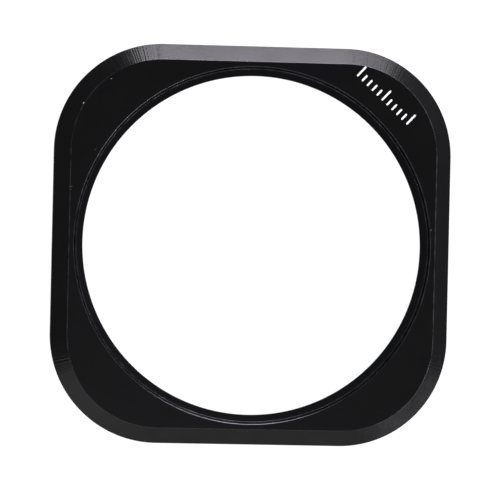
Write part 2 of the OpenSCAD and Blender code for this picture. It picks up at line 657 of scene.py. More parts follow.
@dataclass(frozen=True)
class MouldedSilicone:
    """Black silicone rubber as it leaves the mould.

    The eye gets a dull, slightly dusty black with a soft sheen along the bead.
    """

    name: str = "moulded_black_silicone"
    colour: str = "#202022"
    dusty: str = "#2c2c2f"
    index: float = 1.41
    # Roughness, and how far it falls where the rubber is clean and rises where it is dusty
    roughness: float = 0.62
    clean_fall: float = 0.05
    dusty_rise: float = 0.1
    # Size of the patches of dust
    dust_mm: float = 1.43
    # Size and height of the mould's grain
    grain_mm: float = 0.1
    depth_mm: float = 0.004

    def make(self) -> bpy.types.Material:
        """Builds the node material.

        Returns:
            The finished material.
        """
        material, shader = new_material(self.name)
        tree = material.node_tree
        mm = place_in_mm(tree)
        dust = add_node(tree, "ShaderNodeTexNoise", None, {
            "Vector": mm, "Scale": 1 / self.dust_mm, "Detail": 6.0, "Roughness": 0.7})
        laid = add_node(tree, "ShaderNodeMapRange", None, {
            "Value": dust.outputs["Fac"], "From Min": 0.45, "From Max": 0.75})
        tone = add_node(tree, "ShaderNodeMix", {"data_type": "RGBA"}, {
            "Factor": laid.outputs[0], 6: linear(self.colour), 7: linear(self.dusty)})
        gloss = add_node(tree, "ShaderNodeMapRange", None, {
            "Value": dust.outputs["Fac"], "From Min": NOISE_LOW, "From Max": NOISE_HIGH,
            "To Min": self.roughness - self.clean_fall, "To Max": self.roughness + self.dusty_rise})
        grain = add_node(tree, "ShaderNodeTexNoise", None, {
            "Vector": mm, "Scale": 1 / self.grain_mm, "Detail": 2.0})
        bump = add_node(tree, "ShaderNodeBump", None, {
            "Strength": 1.0, "Distance": self.depth_mm * MM, "Height": grain.outputs["Fac"]})
        plug(shader, {
            "IOR": self.index,
            "Base Color": tone.outputs[2],
            "Roughness": gloss.outputs[0],
            "Normal": bump.outputs[0],
        })
        return material


@dataclass(frozen=True)
class FillingPaint:
    """White enamel rubbed into engraved marks.

    The eye gets a clean matte white that is a little uneven in each stroke.
    """

    name: str = "white_filling_enamel"
    colour: str = "#f4f4f4"
    thin: str = "#dcdcde"
    roughness: float = 0.5
    # Size and height of the brush marks
    mark_mm: float = 1 / 6
    depth_mm: float = 0.003

    def make(self) -> bpy.types.Material:
        """Builds the node material.

        Returns:
            The finished material.
        """
        material, shader = new_material(self.name)
        tree = material.node_tree
        marks = add_node(tree, "ShaderNodeTexNoise", None, {
            "Vector": place_in_mm(tree), "Scale": 1 / self.mark_mm, "Detail": 3.0, "Roughness": 0.6})
        tone = add_node(tree, "ShaderNodeMix", {"data_type": "RGBA"}, {
            "Factor": marks.outputs["Fac"], 6: linear(self.colour), 7: linear(self.thin)})
        bump = add_node(tree, "ShaderNodeBump", None, {
            "Strength": 1.0, "Distance": self.depth_mm * MM, "Height": marks.outputs["Fac"]})
        plug(shader, {
            "Roughness": self.roughness,
            "Base Color": tone.outputs[2],
            "Normal": bump.outputs[0],
        })
        return material


@dataclass(frozen=True)
class Solids:
    """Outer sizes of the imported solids, in millimetres."""

    plate_half: float
    face_z: float
    glass_r: float
    glass_z: float
    glass_top: float
    ring_r: float
    ring_top: float
    seal_r: float
    seal_z: float
    groove_z: float

    @classmethod
    def from_frame(cls) -> "Solids":
        """Reads the sizes from the nodes' boxes.

        Returns:
            The sizes of the four solids.
        """
        plate, glass, ring, seal = (
            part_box(node) for node in ("frame", "uv_glass", "retaining_ring", "seal_ring")
        )
        return cls(
            plate_half=plate[1].x / MM,
            face_z=plate[1].z / MM,
            glass_r=glass[1].x / MM,
            glass_z=glass[0].z / MM,
            glass_top=glass[1].z / MM,
            ring_r=ring[1].x / MM,
            ring_top=ring[1].z / MM,
            seal_r=seal[1].x / MM,
            seal_z=seal[0].z / MM,
            groove_z=seal[1].z / MM,
        )


@dataclass
class Lathe:
    """Turns a section about the optical axis with Geometry Nodes, in so many steps to a turn."""

    steps: int = 360

    def tree(self) -> bpy.types.NodeTree:
        """Builds the tree that lays a grid round the axis, ring by ring, along the section's points.

        Returns:
            The geometry tree.
        """
        tree = new_tree("lathe", {
            "Steps": "NodeSocketInt", "Rings": "NodeSocketInt", "Finish": "NodeSocketMaterial"})
        given = add_node(tree, "NodeGroupInput").outputs
        count = add_node(tree, "GeometryNodeAttributeDomainSize", None, {0: given["Geometry"]})
        around = add_node(tree, "FunctionNodeIntegerMath", {"operation": "ADD"}, {0: given["Steps"], 1: 1})
        grid = add_node(tree, "GeometryNodeMeshGrid", None, {
            "Vertices X": given["Rings"], "Vertices Y": around.outputs[0]})
        index = add_node(tree, "GeometryNodeInputIndex").outputs[0]
        ring = add_node(tree, "FunctionNodeIntegerMath", {"operation": "DIVIDE_FLOOR"}, {
            0: index, 1: around.outputs[0]})
        point = add_node(tree, "FunctionNodeIntegerMath", {"operation": "MODULO"}, {
            0: ring.outputs[0], 1: count.outputs["Point Count"]})
        step = add_node(tree, "FunctionNodeIntegerMath", {"operation": "MODULO"}, {
            0: index, 1: around.outputs[0]})
        closed = add_node(tree, "FunctionNodeIntegerMath", {"operation": "MODULO"}, {
            0: step.outputs[0], 1: given["Steps"]})
        share = add_node(tree, "ShaderNodeMath", {"operation": "DIVIDE"}, {
            0: closed.outputs[0], 1: given["Steps"]})
        turn = add_node(tree, "ShaderNodeMath", {"operation": "MULTIPLY"}, {
            0: share.outputs[0], 1: math.tau})
        where = add_node(tree, "GeometryNodeInputPosition").outputs[0]
        spot = add_node(tree, "GeometryNodeSampleIndex", {"data_type": "FLOAT_VECTOR"}, {
            "Geometry": given["Geometry"], "Value": where, "Index": point.outputs[0]})
        placed = add_node(tree, "ShaderNodeVectorRotate", {"rotation_type": "Z_AXIS"}, {
            "Vector": spot.outputs[0], "Angle": turn.outputs[0]})
        wear_and_highlight = add_node(tree, "GeometryNodeInputNamedAttribute", {"data_type": "FLOAT"}, {"Name": WEAR_AND_HIGHLIGHT})
        worn_and_highlit = add_node(tree, "GeometryNodeSampleIndex", {"data_type": "FLOAT"}, {
            "Geometry": given["Geometry"], "Value": wear_and_highlight.outputs[0], "Index": point.outputs[0]})
        stored = add_node(tree, "GeometryNodeStoreNamedAttribute", {"data_type": "FLOAT"}, {
            "Geometry": grid.outputs[0], "Name": WEAR_AND_HIGHLIGHT, "Value": worn_and_highlit.outputs[0]})
        turned = add_node(tree, "GeometryNodeSetPosition", None, {
            "Geometry": stored.outputs[0], "Position": placed.outputs[0]})
        merged = add_node(tree, "GeometryNodeMergeByDistance", None, {
            "Geometry": turned.outputs[0], "Distance": WELD})
        real = add_node(tree, "GeometryNodeRealizeInstances", None, {0: merged.outputs[0]})
        dressed = add_node(tree, "GeometryNodeSetMaterial", None, {
            "Geometry": real.outputs[0], "Material": given["Finish"]})
        add_node(tree, "NodeGroupOutput", None, {0: dressed.outputs[0]})
        return tree

    def turn(
        self, name: str, section: Sequence[Station], finish: bpy.types.Material, closed: bool = True
    ) -> bpy.types.Object:
        """Turns one piece.

        Args:
            name: The piece's name.
            section: The points of its section.
            finish: Its material.
            closed: False for a section that starts and ends on the axis.

        Returns:
            The piece, closed and with its faces outwards.
        """
        mesh = bpy.data.meshes.new(name)
        count = len(section)
        rings = count + 1 if closed else count
        links = [(i, (i + 1) % count) for i in range(rings - 1)]
        mesh.from_pydata([(s.out * MM, 0.0, s.up * MM) for s in section], links, [])
        mesh.attributes.new(WEAR_AND_HIGHLIGHT, "FLOAT", "POINT").data.foreach_set("value", [s.wear_and_highlight for s in section])
        piece = grow(object_from(name, mesh), self.tree(), {
            "Steps": self.steps, "Rings": rings, "Finish": finish})
        face_outwards(piece)
        shade_by_area(piece)
        return piece


@dataclass
class IndexScale:
    """A row of engraved ticks, filled with white, across one corner of the face, in millimetres."""

    # Number of ticks, of which the first and each fifth after it are long
    count: int = 11
    every: int = 5
    pitch: float = 0.745
    long: float = 1.45
    short: float = 0.85
    stroke: float = 0.21
    # Middle of the row on the face, and the angle that it runs at
    middle_x: float = 14.1
    middle_y: float = 16.5
    turn: float = -42.8
    depth: float = 0.06
    # How far the paint lies below the face
    fill_gap: float = 0.012
    # Radius of a tick's tips as a share of its width, just short of a half so that they don't meet
    tip_share: float = 0.499
    tip_steps: int = 6

    def tick(
        self, tree: bpy.types.NodeTree, length: bpy.types.NodeSocket, longest: bpy.types.NodeSocket,
        stroke: bpy.types.NodeSocket, thickness: bpy.types.NodeSocket,
    ) -> bpy.types.NodeSocket:
        """Makes one round-ended tick, whose foot stands in line with the foot of the longest.

        Args:
            tree: The geometry tree.
            length: Length of the tick.
            longest: Length of the longest tick.
            stroke: Width of the tick.
            thickness: How far it stands up.

        Returns:
            The tick as a closed mesh.
        """
        box = add_node(tree, "GeometryNodeCurvePrimitiveQuadrilateral", None, {
            "Width": stroke, "Height": length})
        corner = add_node(tree, "ShaderNodeMath", {"operation": "MULTIPLY"}, {
            0: stroke, 1: self.tip_share})
        capsule = add_node(tree, "GeometryNodeFilletCurve", {"mode": "POLY"}, {
            "Curve": box.outputs[0], "Count": self.tip_steps, "Radius": corner.outputs[0]})
        rest = add_node(tree, "ShaderNodeMath", {"operation": "SUBTRACT"}, {0: length, 1: longest})
        drop = add_node(tree, "ShaderNodeMath", {"operation": "MULTIPLY"}, {0: rest.outputs[0], 1: 0.5})
        foot = add_node(tree, "ShaderNodeCombineXYZ", None, {1: drop.outputs[0]})
        lined = add_node(tree, "GeometryNodeTransform", None, {
            "Geometry": capsule.outputs[0], "Translation": foot.outputs[0]})
        filled = add_node(tree, "GeometryNodeFillCurve", {"mode": "NGONS"}, {0: lined.outputs[0]})
        under = add_node(tree, "GeometryNodeFlipFaces", None, {0: filled.outputs[0]})
        raised = add_node(tree, "GeometryNodeExtrudeMesh", None, {
            "Mesh": filled.outputs[0], "Offset Scale": thickness, "Individual": False})
        whole = add_node(tree, "GeometryNodeJoinGeometry")
        for part in (under, raised):
            tree.links.new(part.outputs[0], whole.inputs[0])
        shut = add_node(tree, "GeometryNodeMergeByDistance", None, {
            "Geometry": whole.outputs[0], "Distance": WELD})
        return shut.outputs[0]

    def tree(self) -> bpy.types.NodeTree:
        """Builds the tree that sets long and short round-ended ticks out along a row.

        Returns:
            The geometry tree.
        """
        tree = new_tree("index scale", {
            "Count": "NodeSocketInt", "Every": "NodeSocketInt", "Pitch": "NodeSocketFloat",
            "Long": "NodeSocketFloat", "Short": "NodeSocketFloat", "Stroke": "NodeSocketFloat",
            "Thickness": "NodeSocketFloat", "Middle": "NodeSocketVector", "Turn": "NodeSocketVector",
            "Finish": "NodeSocketMaterial"})
        given = add_node(tree, "NodeGroupInput").outputs
        points = add_node(tree, "GeometryNodePoints", None, {"Count": given["Count"]})
        index = add_node(tree, "GeometryNodeInputIndex").outputs[0]
        last = add_node(tree, "ShaderNodeMath", {"operation": "SUBTRACT"}, {0: given["Count"], 1: 1.0})
        half = add_node(tree, "ShaderNodeMath", {"operation": "MULTIPLY"}, {0: last.outputs[0], 1: 0.5})
        from_middle = add_node(tree, "ShaderNodeMath", {"operation": "SUBTRACT"}, {
            0: index, 1: half.outputs[0]})
        along = add_node(tree, "ShaderNodeMath", {"operation": "MULTIPLY"}, {
            0: from_middle.outputs[0], 1: given["Pitch"]})
        place = add_node(tree, "ShaderNodeCombineXYZ", None, {0: along.outputs[0]})
        row = add_node(tree, "GeometryNodeSetPosition", None, {
            "Geometry": points.outputs[0], "Position": place.outputs[0]})
        step = add_node(tree, "FunctionNodeIntegerMath", {"operation": "MODULO"}, {
            0: index, 1: given["Every"]})
        is_long = add_node(tree, "FunctionNodeCompare", {"data_type": "INT", "operation": "EQUAL"}, {
            2: step.outputs[0], 3: 0})
        is_short = add_node(tree, "FunctionNodeBooleanMath", {"operation": "NOT"}, {0: is_long.outputs[0]})
        both = add_node(tree, "GeometryNodeJoinGeometry")
        for length, chosen in (("Long", is_long), ("Short", is_short)):
            tick = self.tick(tree, given[length], given["Long"], given["Stroke"], given["Thickness"])
            copies = add_node(tree, "GeometryNodeInstanceOnPoints", None, {
                "Points": row.outputs[0], "Selection": chosen.outputs[0], "Instance": tick})
            tree.links.new(copies.outputs[0], both.inputs[0])
        laid = add_node(tree, "GeometryNodeTransform", None, {
            "Geometry": both.outputs[0], "Translation": given["Middle"], "Rotation": given["Turn"]})
        real = add_node(tree, "GeometryNodeRealizeInstances", None, {0: laid.outputs[0]})
        dressed = add_node(tree, "GeometryNodeSetMaterial", None, {
            "Geometry": real.outputs[0], "Material": given["Finish"]})
        add_node(tree, "NodeGroupOutput", None, {0: dressed.outputs[0]})
        return tree

    def lay(self, name: str, low: float, high: float, finish: bpy.types.Material) -> bpy.types.Object:
        """Sets the ticks out between two heights.

        Args:
            name: The piece's name.
            low: Height of their undersides, in millimetres.
            high: Height of their tops, in millimetres.
            finish: Their material.

        Returns:
            The ticks as one piece.
        """
        piece = grow(object_from(name, bpy.data.meshes.new(name)), self.tree(), {
            "Count": self.count,
            "Every": self.every,
            "Pitch": self.pitch * MM,
            "Long": self.long * MM,
            "Short": self.short * MM,
            "Stroke": self.stroke * MM,
            "Thickness": (high - low) * MM,
            "Middle": (self.middle_x * MM, self.middle_y * MM, low * MM),
            "Turn": (0.0, 0.0, math.radians(self.turn)),
            "Finish": finish,
        })
        face_outwards(piece)
        return piece

    def engrave(self, body: bpy.types.Object, face_z: float, finish: bpy.types.Material) -> None:
        """Cuts a shallow pocket for each tick into the frame's face.

        Args:
            body: The frame's body.
            face_z: Height of the face, in millimetres.
            finish: The material of the pockets' walls.
        """
        cutter = self.lay("tick_cutter", face_z - self.depth, face_z + self.depth, finish)
        cut = body.modifiers.new("ticks", "BOOLEAN")
        cut.operation = "DIFFERENCE"
        cut.solver = "EXACT"
        cut.object = cutter
        settle(body)
        bpy.data.objects.remove(cutter)

    def paint(self, face_z: float) -> bpy.types.Object:
        """Fills the pockets to just under the face.

        Args:
            face_z: Height of the face, in millimetres.

        Returns:
            The paint, as one piece.
        """
        top = face_z - self.fill_gap
        piece = self.lay("index_marks", face_z - self.depth, top, FillingPaint().make())
        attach(piece, "root")
        return piece


@dataclass
class TwistLugs:
    """The bayonet's lugs: each has a lead-in ramp at its open end and a stop near the other.

    Angles are in degrees and lengths in millimetres. lift is the gap from the end of the collar.
    """

    count: int = 4
    first: float = 45.0
    angle: float = 24.0
    reach: float = 0.8
    thick: float = 0.7
    lift: float = 0.25
    # Break along the outer edges, and the small bevel that rounds every edge of it
    edge: float = 0.12
    bevel: float = 0.04
    ramp_angle: float = 9.0
    ramp_drop: float = 0.35
    stop_angle: float = 3.0
    stop_inset: float = 0.5
    stop_h: float = 0.4
    # Angle of one straight step
    step: float = 0.75

    def swept(
        self, bm: bmesh.types.BMesh, section: Sequence[tuple[float, float]], start: float, end: float,
        ramp: bool,
    ) -> None:
        """Sweeps a section round the axis and closes its ends.

        Args:
            bm: The mesh that takes the faces.
            section: Radius and height of each corner, in millimetres.
            start: Angle of the first end, in degrees.
            end: Angle of the last end, in degrees.
            ramp: True to let the upper corners fall along the lead-in ramp.
        """
        count = max(2, round((end - start) / self.step) + 1)
        middle = self.lift + self.thick / 2
        foot = self.ramp_angle - self.angle / 2
        far = max(out for out, _ in section)
        slope = self.ramp_drop / (far * math.sin(math.radians(self.ramp_angle)))
        rings = []
        for k in range(count):
            turn = math.radians(start + (end - start) * k / (count - 1))
            ring = []
            for out, up in section:
                fall = max(0.0, slope * out * math.sin(math.radians(foot) - turn))
                lowered = up - fall if ramp and up > middle else up
                spot = (out * math.cos(turn) * MM, out * math.sin(turn) * MM, lowered * MM)
                ring.append(bm.verts.new(spot))
            rings.append(ring)
        size = len(section)
        for low, high in zip(rings, rings[1:]):
            for i in range(size):
                j = (i + 1) % size
                bm.faces.new((low[i], low[j], high[j], high[i]))
        bm.faces.new(rings[0])
        bm.faces.new(rings[-1])

    def tree(self) -> bpy.types.NodeTree:
        """Builds the tree that sets copies of one lug round the axis.

        Returns:
            The geometry tree.
        """
        tree = new_tree("lugs round the collar", {
            "Count": "NodeSocketInt", "First": "NodeSocketFloat", "Finish": "NodeSocketMaterial"})
        given = add_node(tree, "NodeGroupInput").outputs
        points = add_node(tree, "GeometryNodePoints", None, {"Count": given["Count"]})
        index = add_node(tree, "GeometryNodeInputIndex").outputs[0]
        share = add_node(tree, "ShaderNodeMath", {"operation": "DIVIDE"}, {0: index, 1: given["Count"]})
        turn = add_node(tree, "ShaderNodeMath", {"operation": "MULTIPLY_ADD"}, {
            0: share.outputs[0], 1: math.tau, 2: given["First"]})
        spin = add_node(tree, "ShaderNodeCombineXYZ", None, {2: turn.outputs[0]})
        copies = add_node(tree, "GeometryNodeInstanceOnPoints", None, {
            "Points": points.outputs[0], "Instance": given["Geometry"], "Rotation": spin.outputs[0]})
        real = add_node(tree, "GeometryNodeRealizeInstances", None, {0: copies.outputs[0]})
        dressed = add_node(tree, "GeometryNodeSetMaterial", None, {
            "Geometry": real.outputs[0], "Material": given["Finish"]})
        add_node(tree, "NodeGroupOutput", None, {0: dressed.outputs[0]})
        return tree

    def build(self, collar_r: float, wall: float, finish: bpy.types.Material) -> bpy.types.Object:
        """Makes all lugs, rooted in the middle of the collar's wall.

        Args:
            collar_r: Outer radius of the collar, in millimetres.
            wall: Its wall, in millimetres.
            finish: The lugs' material.

        Returns:
            The lugs as one object.
        """
        top = self.lift + self.thick
        tip = collar_r + self.reach
        root = collar_r - wall / 2
        # The stop stands a little back from the lug's tip, and its root lies beside the lug's
        stop_tip = tip - 1.5 * self.edge
        stop_root = collar_r - wall / 3
        stop_top = top + self.stop_h
        bm = bmesh.new()
        self.swept(bm, [
            (root, self.lift), (tip - self.edge, self.lift), (tip, self.lift + self.edge),
            (tip, top - self.edge), (tip - self.edge, top), (root, top),
        ], -self.angle / 2, self.angle / 2, True)
        end = self.angle / 2 - self.stop_inset
        self.swept(bm, [
            (stop_root, top - self.thick / 2), (stop_tip, top - self.thick / 2),
            (stop_tip, stop_top - self.edge), (stop_tip - self.edge, stop_top), (stop_root, stop_top),
        ], end - self.stop_angle, end, False)
        bmesh.ops.recalc_face_normals(bm, faces=bm.faces)
        mesh = bpy.data.meshes.new("lugs")
        bm.to_mesh(mesh)
        bm.free()
        lugs = object_from("lugs", mesh)
        soften = lugs.modifiers.new("edges", "BEVEL")
        soften.width = self.bevel * MM
        soften.segments = 2
        soften.limit_method = "ANGLE"
        soften.angle_limit = SHARP
        settle(lugs)
        lugs.data.attributes.new(WEAR_AND_HIGHLIGHT, "FLOAT", "POINT")
        return grow(lugs, self.tree(), {
            "Count": self.count, "First": math.radians(self.first), "Finish": finish})


@dataclass
class FilterFrame:
    """The milled frame: a rounded-square plate with its chamfer, stepped bore, collar and lugs.

    Sizes are in millimetres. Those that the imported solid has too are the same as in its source.
    """

    solids: Solids
    chamfer: float = 1.73
    corner_r: float = 11.6
    # Fillets where the chamfer meets the face and the side, and at the back
    face_fillet: float = 0.06
    side_fillet: float = 0.05
    back_fillet: float = 0.05
    # Break round the mouth of the bore, and the slight flare under it
    bore_break: float = 0.05
    bore_flare: float = 0.07
    flare_depth: float = 0.3
    back_break: float = 0.2
    ring_gap: float = 0.03
    seat_lap: float = 0.5
    seat_t: float = 0.83
    seal_gap: float = 0.03
    seal_w: float = 1.1
    collar_wall: float = 0.9
    collar_break: float = 0.15
    # Fillet of the edges that the lathe cut, and the flat held beside each fillet
    fine: float = 0.02
    apron: float = 0.05
    # Straight steps round one corner of the plate and along one side
    arc_steps: int = 56
    side_steps: int = 30

    @property
    def plate_z(self) -> float:
        """Height of the plate's back."""
        return self.solids.glass_z - self.seat_t

    @property
    def bore_r(self) -> float:
        """Radius of the bore that holds the ring."""
        return self.solids.ring_r + self.ring_gap

    @property
    def groove_r(self) -> float:
        """Outer radius of the seal's groove."""
        return self.solids.seal_r + self.seal_gap

    @property
    def collar_r(self) -> float:
        """Outer radius of the collar."""
        return self.groove_r - self.seal_w - 2 * self.seal_gap

    def section(self) -> list[Station]:
        """Lays out the closed section, from the back of the plate over the front to the groove.

        Returns:
            The rounded section.
        """
        s = self.solids
        square, milled, blasted = Loop.SQUARE, Machining.MILLED, Machining.BLASTED
        seat_r = s.glass_r - self.seat_lap
        collar_bore = self.collar_r - self.collar_wall
        flared = self.bore_r + self.bore_flare
        return rounded([
            Corner(s.plate_half - self.back_break, self.plate_z, self.back_fillet, square, blasted),
            Corner(s.plate_half, self.plate_z + self.back_break, self.back_fillet, square, blasted),
            Corner(s.plate_half, s.face_z - self.chamfer, self.side_fillet, square, milled),
            Corner(s.plate_half - self.chamfer, s.face_z, self.face_fillet, square, blasted),
            Corner(flared + self.bore_break, s.face_z, self.fine),
            Corner(flared, s.face_z - self.bore_break, self.fine),
            Corner(self.bore_r, s.face_z - self.flare_depth),
            Corner(self.bore_r, s.glass_z),
            Corner(seat_r, s.glass_z, self.fine),
            Corner(seat_r, self.plate_z, self.fine),
            Corner(collar_bore, self.plate_z),
            Corner(collar_bore, self.collar_break, self.fine),
            Corner(collar_bore + self.collar_break, 0.0, self.fine),
            Corner(self.collar_r - self.collar_break, 0.0, self.fine),
            Corner(self.collar_r, self.collar_break, self.fine),
            Corner(self.collar_r, s.groove_z),
            Corner(self.groove_r, s.groove_z),
            Corner(self.groove_r, self.plate_z, self.fine, Loop.ROUND, blasted),
        ], apron=self.apron)

    def compass(self) -> list[tuple[Vector, Vector]]:
        """Walks round the rounded square.

        Returns:
            The centre that each point of a loop is set out from, and the direction, in millimetres.
        """
        reach = self.solids.plate_half - self.corner_r
        walk = []
        for quarter in range(4):
            turn = math.pi / 2 * quarter
            corner = Matrix.Rotation(turn, 2) @ Vector((reach, reach))
            following = Matrix.Rotation(turn + math.pi / 2, 2) @ Vector((reach, reach))
            for k in range(self.arc_steps):
                angle = turn + math.pi / 2 * k / self.arc_steps
                walk.append((corner, Vector((math.cos(angle), math.sin(angle)))))
            side = Matrix.Rotation(turn + math.pi / 2, 2) @ Vector((1.0, 0.0))
            for k in range(self.side_steps):
                walk.append((corner.lerp(following, k / self.side_steps), side))
        return walk

    def knocks(self) -> tuple[Nick, ...]:
        """Places the small nicks on the face and along its edge.

        Returns:
            The nicks.
        """
        face = self.solids.face_z
        # Place, half length, half width, angle, and share of metal laid open
        return (
            Nick(-18.51, 14.87, face, 0.1, 0.045, 50.0),
            Nick(-15.6, 17.54, face, 0.07, 0.018, 20.0),
            Nick(-17.14, 9.92, face, 0.14, 0.03, 25.0, 0.1),
            Nick(-19.68, 5.9, face, 0.2, 0.04, 0.0, 0.08),
            Nick(-19.72, 5.6, face, 0.14, 0.03, 0.0, 0.07),
            Nick(19.3, 2.1, face, 0.07, 0.03, 60.0, 0.4),
        )

    def finishes(self) -> list[bpy.types.Material]:
        """Makes the finishes of the frame's stretches.

        Returns:
            The materials, in the order of Machining.
        """
        # The paler worn fillets of these finishes are partly wear and partly a painted edge highlight
        blasted = BlackAnodisedAluminium(
            "bead_blasted_black_anodised_aluminium", Machining.BLASTED, grazing="#b0b0b2", wear_and_highlight=0.65,
            nicks=self.knocks())
        milled = BlackAnodisedAluminium(
            "milled_black_anodised_aluminium", Machining.MILLED, roughness=0.25, mark_mm=0.22,
            depth_mm=0.022, wear_and_highlight=0.65, corner_mm=self.solids.plate_half - self.corner_r,
            arc_mm=self.corner_r, nicks=self.knocks())
        turned = BlackAnodisedAluminium(
            "turned_black_anodised_aluminium", Machining.TURNED, colour="#141416", pale="#18181a",
            roughness=0.34, mark_mm=0.06, depth_mm=0.001, wear_and_highlight=0.18, spared=1.0, right_wear_and_highlight=1.0)
        return [finish.make() for finish in (blasted, milled, turned)]

    def body(self, finishes: Sequence[bpy.types.Material]) -> bpy.types.Object:
        """Builds the frame without its lugs as rings of quads round the axis.

        Args:
            finishes: The materials, in the order of Machining.

        Returns:
            The closed body.
        """
        stations = self.section()
        walk = self.compass()
        rim = [centre + way * self.corner_r for centre, way in walk]
        bm = bmesh.new()
        wear_and_highlight = bm.verts.layers.float.new(WEAR_AND_HIGHLIGHT)
        rings = []
        for station in stations:
            ring = []
            for (centre, way), outer in zip(walk, rim):
                if station.loop is Loop.SQUARE:
                    spot = centre + way * (self.corner_r - (self.solids.plate_half - station.out))
                else:
                    spot = outer.normalized() * station.out
                vert = bm.verts.new((spot.x * MM, spot.y * MM, station.up * MM))
                vert[wear_and_highlight] = station.wear_and_highlight
                ring.append(vert)
            rings.append(ring)
        size = len(walk)
        for j, station in enumerate(stations):
            near, far = rings[j], rings[(j + 1) % len(rings)]
            for i in range(size):
                k = (i + 1) % size
                quad = bm.faces.new((near[i], near[k], far[k], far[i]))
                quad.material_index = station.cut.value
        bmesh.ops.recalc_face_normals(bm, faces=bm.faces)
        mesh = bpy.data.meshes.new("filter_frame")
        bm.to_mesh(mesh)
        bm.free()
        for finish in finishes:
            mesh.materials.append(finish)
        return object_from("filter_frame", mesh)

    def build(self, scale: IndexScale, lugs: TwistLugs) -> bpy.types.Object:
        """Builds and dresses the whole frame.

        Args:
            scale: The ticks to engrave.
            lugs: The lugs of the bayonet.

        Returns:
            The frame as one piece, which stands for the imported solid.
        """
        finishes = self.finishes()
        piece = self.body(finishes)
        scale.engrave(piece, self.solids.face_z, finishes[Machining.BLASTED.value])
        added = lugs.build(self.collar_r, self.collar_wall, finishes[Machining.TURNED.value])
        absorb(piece, added, Machining.TURNED.value)
        shade_by_area(piece)
        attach(piece, "root")
        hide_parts("frame")
        return piece


@dataclass
class RetainingRing:
    """The thin turned ring that holds the glass: a narrow flat top over a flank of fine steps.

    Sizes are in millimetres. lap is how far the ring covers the glass, land is the width of its flat
    top, and lip is the upright at the foot of its flank.
    """

    solids: Solids
    lap: float = 0.74
    land: float = 0.16
    lip: float = 0.08
    # Fillet of the top's edges, its straight steps, and the flat held beside it
    fillet: float = 0.03
    fillet_steps: int = 3
    apron: float = 0.025
    # Number of fine steps down the flank
    steps: int = 5
    # How far the foot of each step's wall is cut back, so that no light glances off it
    undercut: float = 0.03

    def flank(self) -> list[Corner]:
        """Lays out the fine steps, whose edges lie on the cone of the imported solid.

        Returns:
            The corners, from the flat top down to the lip.
        """
        s = self.solids
        inner, low = s.glass_r - self.lap, s.glass_top + self.lip
        outer, high = s.ring_r - self.land, s.ring_top
        corners = [Corner(outer, high, self.fillet)]
        for k in range(1, self.steps + 1):
            share, before = k / self.steps, (k - 1) / self.steps
            up = high + (low - high) * share
            corners.append(Corner(outer + (inner - outer) * before + self.undercut, up))
            corners.append(Corner(outer + (inner - outer) * share, up))
        return corners

    def build(self, lathe: Lathe) -> bpy.types.Object:
        """Turns and dresses the ring.

        Args:
            lathe: The lathe that turns it.

        Returns:
            The ring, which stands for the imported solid.
        """
        s = self.solids
        inner = s.glass_r - self.lap
        section = rounded([
            Corner(inner, s.glass_top),
            Corner(s.ring_r, s.glass_top),
            Corner(s.ring_r, s.ring_top, self.fillet),
            *self.flank(),
        ], self.fillet_steps, self.apron)
        # The paler worn colour covers the ring's whole flat top and its edges, and is partly wear and
        # partly a painted highlight along the top
        finish = BlackAnodisedAluminium(
            "turned_black_anodised_ring", Machining.TURNED, colour="#121214", pale="#151517",
            worn_and_highlit="#5c5b60", roughness=0.38, mark_mm=0.05, depth_mm=0.0005, wear_and_highlight=0.35, spared=1.0,
            right_wear_and_highlight=1.0).make()
        piece = lathe.turn("glass_ring", section, finish)
        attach(piece, "root")
        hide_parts("retaining_ring")
        return piece


@dataclass
class FilterGlass:
    """The flat round glass with its two ground bevels, whose width is in millimetres."""

    solids: Solids
    bevel: float = 0.15

    def build(self, lathe: Lathe) -> bpy.types.Object:
        """Turns and dresses the glass.

        Args:
            lathe: The lathe that turns it.

        Returns:
            The glass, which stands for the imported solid.
        """
        s = self.solids
        low, high, rim = s.glass_z, s.glass_top, s.glass_r
        flat = rim - self.bevel
        # The points inside the flat's rim keep its shading flat
        inside = (flat - self.bevel, rim / 2, 0.0)
        section = [
            *(Station(out, low) for out in reversed(inside)),
            Station(flat, low),
            Station(rim, low + self.bevel),
            Station(rim, high - self.bevel),
            Station(flat, high),
            *(Station(out, high) for out in inside),
        ]
        piece = lathe.turn("filter_glass", section, CoatedGlass().make(), closed=False)
        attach(piece, "root")
        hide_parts("uv_glass")
        return piece


@dataclass
class SealRing:
    """The silicone ring in the groove round the collar, with a round bead towards the camera.

    Sizes are in millimetres, and bead is the bead's radius.
    """

    solids: Solids
    width: float = 1.1
    bead: float = 0.3
    bead_steps: int = 12
    # Fillets at the groove's floor and beside the bead, and the flat held beside each
    foot_fillet: float = 0.04
    step_fillet: float = 0.06
    apron: float = 0.05

    def build(self, lathe: Lathe) -> bpy.types.Object:
        """Turns and dresses the seal.

        Args:
            lathe: The lathe that turns it.

        Returns:
            The seal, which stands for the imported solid.
        """
        s = self.solids
        outer, inner = s.seal_r, s.seal_r - self.width
        middle = (outer + inner) / 2
        step = s.seal_z + self.bead
        bead = []
        for k in range(self.bead_steps + 1):
            turn = math.pi * k / self.bead_steps
            bead.append(Corner(middle + self.bead * math.cos(turn), step - self.bead * math.sin(turn)))
        section = rounded([
            Corner(inner, s.groove_z, self.foot_fillet),
            Corner(outer, s.groove_z, self.foot_fillet),
            Corner(outer, step, self.step_fillet),
            *bead,
            Corner(inner, step, self.step_fillet),
        ], apron=self.apron)
        piece = lathe.turn("silicone_seal", section, MouldedSilicone().make())
        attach(piece, "root")
        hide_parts("seal_ring")
        return piece


